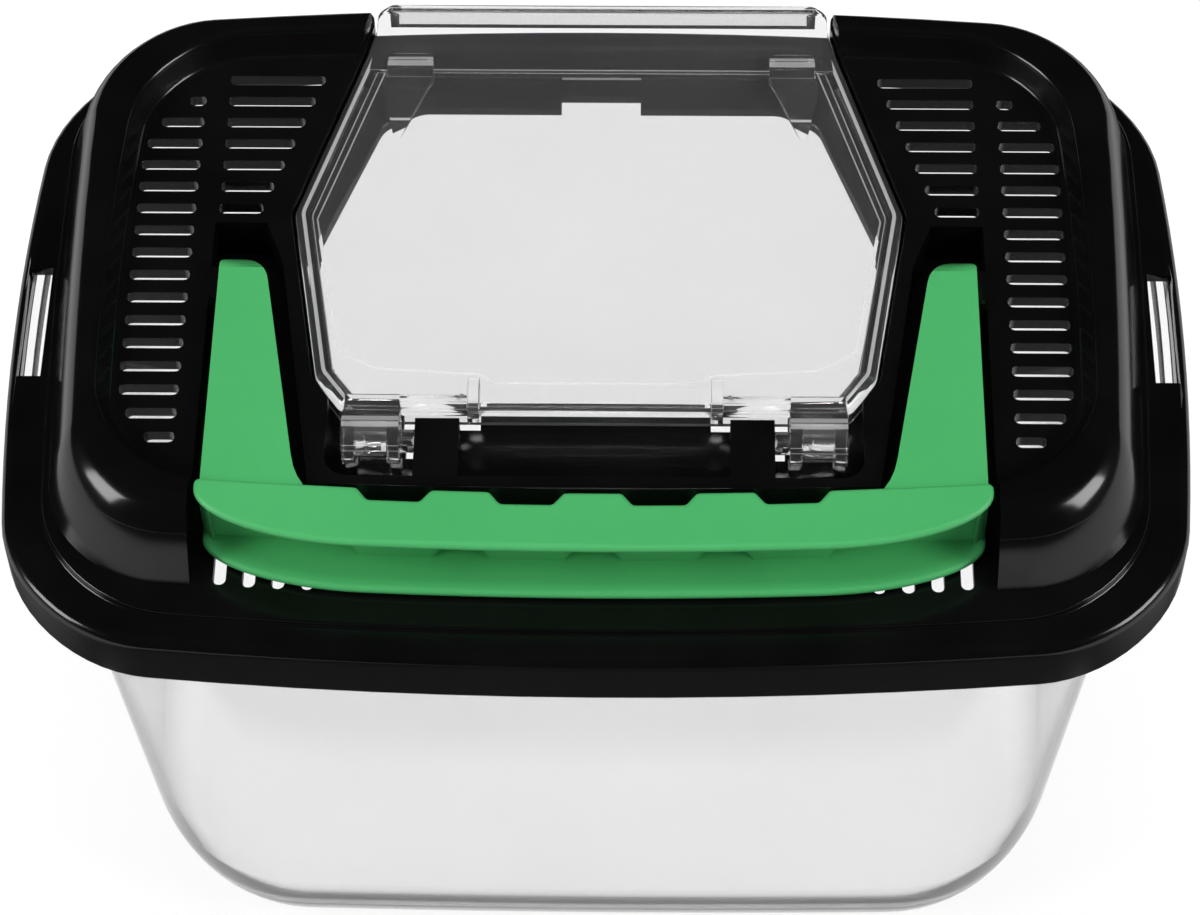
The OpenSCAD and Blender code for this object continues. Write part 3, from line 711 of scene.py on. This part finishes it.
def door_lip():
    """Raised band and the lip that turns down behind the lid's back wall."""
    tip, front, low = WALL_Y + LIP_REACH, WALL_Y - BAND, LIP_Z - LIP_H

    def bend(r, count):
        turn = [math.radians(90 * k / count) for k in range(count + 1)]
        return [(tip - LIP_R + r * math.cos(a), LIP_Z - LIP_R + r * math.sin(a)) for a in turn]
    ob = extrude_x([(front, LIP_Z - DOOR_T), (front, LIP_Z), *bend(LIP_R, 9)[::-1],
                    (tip, low), (tip - DOOR_T, low), *bend(LIP_R - DOOR_T, 6)], -60, 60)
    half = mirrored([(DOOR_BACK + 1, front - 1), (DOOR_BACK, WALL_Y - 2), (DOOR_BACK, tip - 4),
                     (DOOR_BACK - 3.6, tip)])
    return boolean(ob, prism(rounded(half, [0, 1, 3, 1.5, 1.5, 3, 1, 0], 1, 6), 100, 140), "INTERSECT")


def wedge():
    tip, back = WALL_Y - 28, WALL_Y - 7.3
    p = [(30.7, back), (30.7, WALL_Y - 13.3), (36.9, tip), (39.4, WALL_Y - 16.8), (38.8, back)]
    ob = prism(rounded(p[::-1], [2, 0, 0.6, 2, 2], 1, 5), 119, 124)
    top = extrude_x([(tip - 1, 118), (tip - 1, 120.3), (back - 6, 123.1), (back - 2.5, 123.5),
                     (back - 0.8, 123.2), (back + 0.5, 122), (back + 0.5, 118)], 20, 60)
    return boolean(ob, top, "INTERSECT")


def knuckle():
    """Rounded barrel, hollow in front, with the peg that turns in the lid's lug."""
    ob = x_rod(KNUCKLE_R, KNUCKLE_IN, KNUCKLE_OUT, AXIS_Y + 0.6, AXIS_Z + 0.5)
    add(ob, block([KNUCKLE_IN + 0.2, AXIS_Y + 1, AXIS_Z - 1.5], [KNUCKLE_OUT - 0.2, -22.2, BEAD_Z + 0.2]))
    hollow_in, hollow_out = 35.5, 41.1
    hood = circle(3.3, AXIS_Y - 0.6, AXIS_Z - 0.6)
    cut(ob, extrude_x(hood, hollow_in, hollow_out),
        block([hollow_in, AXIS_Y - 3.9, 110], [hollow_out, AXIS_Y + 2.7, AXIS_Z - 0.6]),
        block([hollow_in, AXIS_Y - 8, 110], [hollow_out, AXIS_Y, AXIS_Z + 1.2]))
    return add(ob, x_rod(PEG_R, LUG_X + 1, 42, AXIS_Y, AXIS_Z))


def fin():
    arc = [math.radians(15 * k) for k in range(7)]
    p = [(-25, 117.2), (-18.4, 117.2)] + [(-21 + 2.6 * math.cos(a), 120.6 + 2.6 * math.sin(a)) for a in arc]
    p += [(-22 - 3 * math.sin(a), 120.2 + 3 * math.cos(a)) for a in arc]
    return extrude_x(p, FIN_X, FIN_X + FIN_T)


def door():
    ob = door_shell()
    add(ob, door_lip(), *both(wedge()), *both(fin()), *both(knuckle()))
    tidy(ob, 0.06)
    round_edges(ob, 0.22, 3)
    return finished(ob, CLEAR_DOOR)


# ---- Handle ----
FINGER_PITCH, FINGER_D = 22.3, 2.4
GRIP_Z, FLANGE_T, HANDLE_T, GRIP_WALL = 112.5, 1.6, 2.2, 3.9
ARM_END_R = 5.2


def grip_back_edge(half):
    """Back edge with its four finger notches, from right to left, and the radius at each point."""
    p = [(half, GRIP_BACK), (54, GRIP_BACK)]
    for k in (1.5, 0.5, -0.5, -1.5):
        x = k * FINGER_PITCH
        p += [(x + dx, GRIP_BACK - d) for dx, d in ((6.3, 0), (4.4, FINGER_D), (-4.4, FINGER_D), (-6.3, 0))]
    p += [(-54, GRIP_BACK), (-half, GRIP_BACK)]
    return p, [1.2, 0] + [1.1] * 16 + [0, 1.2]


def grip_outline(half, depth, end):
    """Outline of the grip, whose ends run straight for end before they turn to the front."""
    left = [(-half + 28 * (1 - math.cos(a)), GRIP_BACK - end - (depth - end) * math.sin(a))
            for a in (math.radians(6 * k) for k in range(16))]
    left += [(x, GRIP_BACK - depth) for x in (-30, -20, -10)]
    back, r = grip_back_edge(half)
    front = left + [(0, GRIP_BACK - depth)] + [(-x, y) for x, y in left[::-1]]
    return arched(rounded(front + back, [0] * len(front) + r, 1, 4))


def flange(half, depth, end, low, high):
    """Plate with a rounded edge."""
    q, r, middle = grip_outline(half, depth, end), (high - low) / 2, (low + high) / 2
    steps = [math.radians(22.5 * k - 90) for k in range(9)]
    return loft("flange", [(grown(q, -r * (1 - math.cos(a))), middle + r * math.sin(a)) for a in steps])


def arm():
    """Arm with its hollow underside and the peg that turns in the lid."""
    plan = [(49, GRIP_BACK), (ARM_X, GRIP_BACK), (ARM_X, 6.8), (58.6, 6.8), (57.5, 0), (51.4, -36),
            (50.8, -38.6), (50, -40.6), (49, -42.2)]
    r = [0, 0, 1.5, 6, 2, 6, 0, 0, 0]
    turn = [math.radians(10 * k) for k in range(10)]
    side = [(GRIP_BACK, PIVOT_Z - 4.2), (GRIP_BACK, CREST_Z - 2.1)]
    side += [(PIVOT_Y + 1.6 + 3.6 * math.sin(a), PIVOT_Z + 1.6 + 3.6 * math.cos(a)) for a in turn]
    side += [(PIVOT_Y + ARM_END_R * math.cos(a), PIVOT_Z - ARM_END_R * math.sin(a)) for a in turn]
    ob = extrude_x(side, 47, 68)
    boolean(ob, prism(rounded(plan, r, 1, 8), 100, 140), "INTERSECT")
    hollow = prism(grown(plan, -HANDLE_T), 100, 140)
    room = extrude_x([(-3.6, 100), (-3.6, PIVOT_Z + 3), (-40.1, CREST_Z - 4.3), (-40.1, 100)], 47, 68)
    tidy(ob, 0.06)
    round_edges(ob, 0.35, 3)
    cut(ob, boolean(hollow, room, "INTERSECT"))
    return add(ob, x_rod(PIVOT_R, ARM_X - 2, CHANNEL_X + 2.6, PIVOT_Y, PIVOT_Z))


def handle():
    ob = prism(grown(grip_outline(ARM_X, 10.5, 2), -0.15), GRIP_Z + 0.7, CREST_Z - 0.7)
    x, front = ARM_X - FLANGE_T, GRIP_FRONT - 20
    room = [(-x, front), (x, front)]
    back = grown(room + grip_back_edge(x + GRIP_WALL)[0], -GRIP_WALL)[2:]
    cut(ob, prism(room + arched(back), GRIP_Z, CREST_Z))
    add(ob, flange(GRIP_X, 11.5, 2, CREST_Z - FLANGE_T, CREST_Z),
        flange(ARM_X, 13.3, 4.6, GRIP_Z, GRIP_Z + FLANGE_T), *both(arm()))
    tidy(ob, 0.06)
    return finished(ob, GREEN)


for make, body, name, mat_slot in ((tub, "tub", "tub_clear", "clear_tub"),
                                   (lid, "lid", "lid_black", "black_lid"),
                                   (door, "door", "door_clear", "clear_door"),
                                   (handle, "handle", "handle_green", "green_handle")):
    piece = make()
    piece.name = name
    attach(piece, body)
    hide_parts(body)


# ---- Floor, light, camera, in metres ----
AIM = (0, 0, 0.08)
CAM_PITCH, CAM_YAW, CAM_ROLL = 0.95993109, 0.02800079, 0.01641307  # radians, fitted to the photograph
CAM_PLACE, CAM_LENS, CAM_SENSOR = (0.011337, -0.403498, 0.647846), 113.488, 36


def by_ray(tree, lit, mirrored_in, inside, through, direct):
    """A value that depends on who asks.

    lit is for light on surfaces, mirrored_in for what outer faces mirror, inside for what is mirrored
    inside clear plastic, through for what is seen through it, and direct for what the camera sees itself.
    """
    path = tree.nodes.new("ShaderNodeLightPath")
    bounced = maths(tree, "GREATER_THAN", path.outputs["Glossy Depth"], 0.5)
    passed = maths(tree, "GREATER_THAN", path.outputs["Transmission Depth"], 0.5)
    clean = maths(tree, "SUBTRACT", 1.0, bounced)
    value = chosen(tree, maths(tree, "MAXIMUM", path.outputs["Is Glossy Ray"], bounced), lit, mirrored_in)
    value = chosen(tree, maths(tree, "MULTIPLY", bounced, passed), value, inside)
    value = chosen(tree, maths(tree, "MULTIPLY", path.outputs["Is Transmission Ray"], clean), value, through)
    return chosen(tree, path.outputs["Is Camera Ray"], value, direct)


def floor():
    """Pale floor: white to the eye with the shadow kept, and dull in what the black lid mirrors in front."""
    mat, t, s = material("floor")
    albedo = by_ray(t, lit=0.86, mirrored_in=0.02, inside=0.02, through=0.1, direct=0.25)
    mottle = ranged(t, noise(t, 3, 2), 0.3, 0.7, 0.98, 1.0)
    t.links.new(maths(t, "MULTIPLY", mottle, albedo), s.inputs["Base Color"])
    s.inputs["Roughness"].default_value = 0.9
    s.inputs["Specular IOR Level"].default_value = 0.0
    side, near = maths(t, "ABSOLUTE", axis(t, "Object", "X")), axis(t, "Object", "Y")
    near = ranged(t, near, -0.105, -0.095, 0, 0.85)
    beside = ranged(t, side, 0.15, 0.25, 0.06, 0.8)
    under = maths(t, "MULTIPLY", near, ranged(t, side, 0.12, 0.14, 1, 0))
    mirrored_in = maths(t, "MAXIMUM", beside, under)
    inside = ranged(t, side, 0.1, 0.13, 0.3, 1.0)
    far = maths(t, "MAXIMUM", side, maths(t, "ABSOLUTE", axis(t, "Object", "Y")))
    direct = ranged(t, far, 0.3, 1.2, 0.85, 1.1)
    t.links.new(by_ray(t, 0.0, mirrored_in, inside, 1.06, direct), s.inputs["Emission Strength"])
    s.inputs["Emission Color"].default_value = (1, 1, 1, 1)
    half = 4 / MM  # mesh() takes mm
    ob = mesh("floor", [(-half, -half, 0), (half, -half, 0), (half, half, 0), (-half, half, 0)],
              [(0, 1, 2, 3)], mat)
    ob.location.z = -0.0003


def world():
    w = bpy.data.worlds.new("studio")
    scene.world = w
    w.use_nodes = True
    t = w.node_tree
    side = ranged(t, maths(t, "ABSOLUTE", axis(t, "Generated", "X")), 0.6, 0.85, 0, 0.9)
    front = ranged(t, axis(t, "Generated", "Y"), 0.05, 0.35, 1, 0.1)
    mirrored_in = maths(t, "ADD", 0.07, maths(t, "MULTIPLY", side, front))
    inside = ranged(t, axis(t, "Generated", "Z"), 0.5, 0.75, 1.0, 0.12)
    lit = ranged(t, axis(t, "Generated", "Y"), -0.7, 0.1, 4.6, 0.5)
    t.links.new(by_ray(t, lit, mirrored_in, inside, 1.0, 1.0), t.nodes["Background"].inputs["Strength"])


def lamp(name, place, size, power, mirrored_in=True):
    data = bpy.data.lights.new(name, "AREA")
    data.shape, data.size, data.size_y, data.energy = "RECTANGLE", size[0], size[1], power
    ob = bpy.data.objects.new(name, data)
    scene.collection.objects.link(ob)
    ob.location = place
    ob.rotation_euler = (Vector(AIM) - Vector(place)).to_track_quat("-Z", "Y").to_euler()
    ob.visible_glossy = mirrored_in


def camera():
    data = bpy.data.cameras.new("camera")
    ob = bpy.data.objects.new("camera", data)
    scene.collection.objects.link(ob)
    cp, sp = math.cos(CAM_PITCH), math.sin(CAM_PITCH)
    cy, sy = math.cos(CAM_YAW), math.sin(CAM_YAW)
    cr, sr = math.cos(CAM_ROLL), math.sin(CAM_ROLL)
    tilt = Matrix(((1, 0, 0), (0, -sp, -cp), (0, cp, -sp)))
    turn = Matrix(((cy, sy, 0), (-sy, cy, 0), (0, 0, 1)))
    lean = Matrix(((cr, sr, 0), (-sr, cr, 0), (0, 0, 1)))
    r = lean @ tilt @ turn
    facing = Matrix((r[0], -r[1], -r[2])).transposed().to_quaternion()
    ob.matrix_world = Matrix.LocRotScale(Vector(CAM_PLACE), facing, None)
    data.lens, data.sensor_width = CAM_LENS, CAM_SENSOR
    data.clip_start, data.clip_end = 0.05, 20
    scene.camera = ob


floor()
world()
lamp("key", (-1.0, -0.3, 0.65), (0.5, 0.5), 6.8)
lamp("fill", (1.0, -0.3, 0.65), (0.5, 0.5), 6.8)
lamp("top", (0, 0.1, 1.4), (0.9, 0.5), 7.5, mirrored_in=False)
camera()
scene.view_settings.view_transform = "Standard"
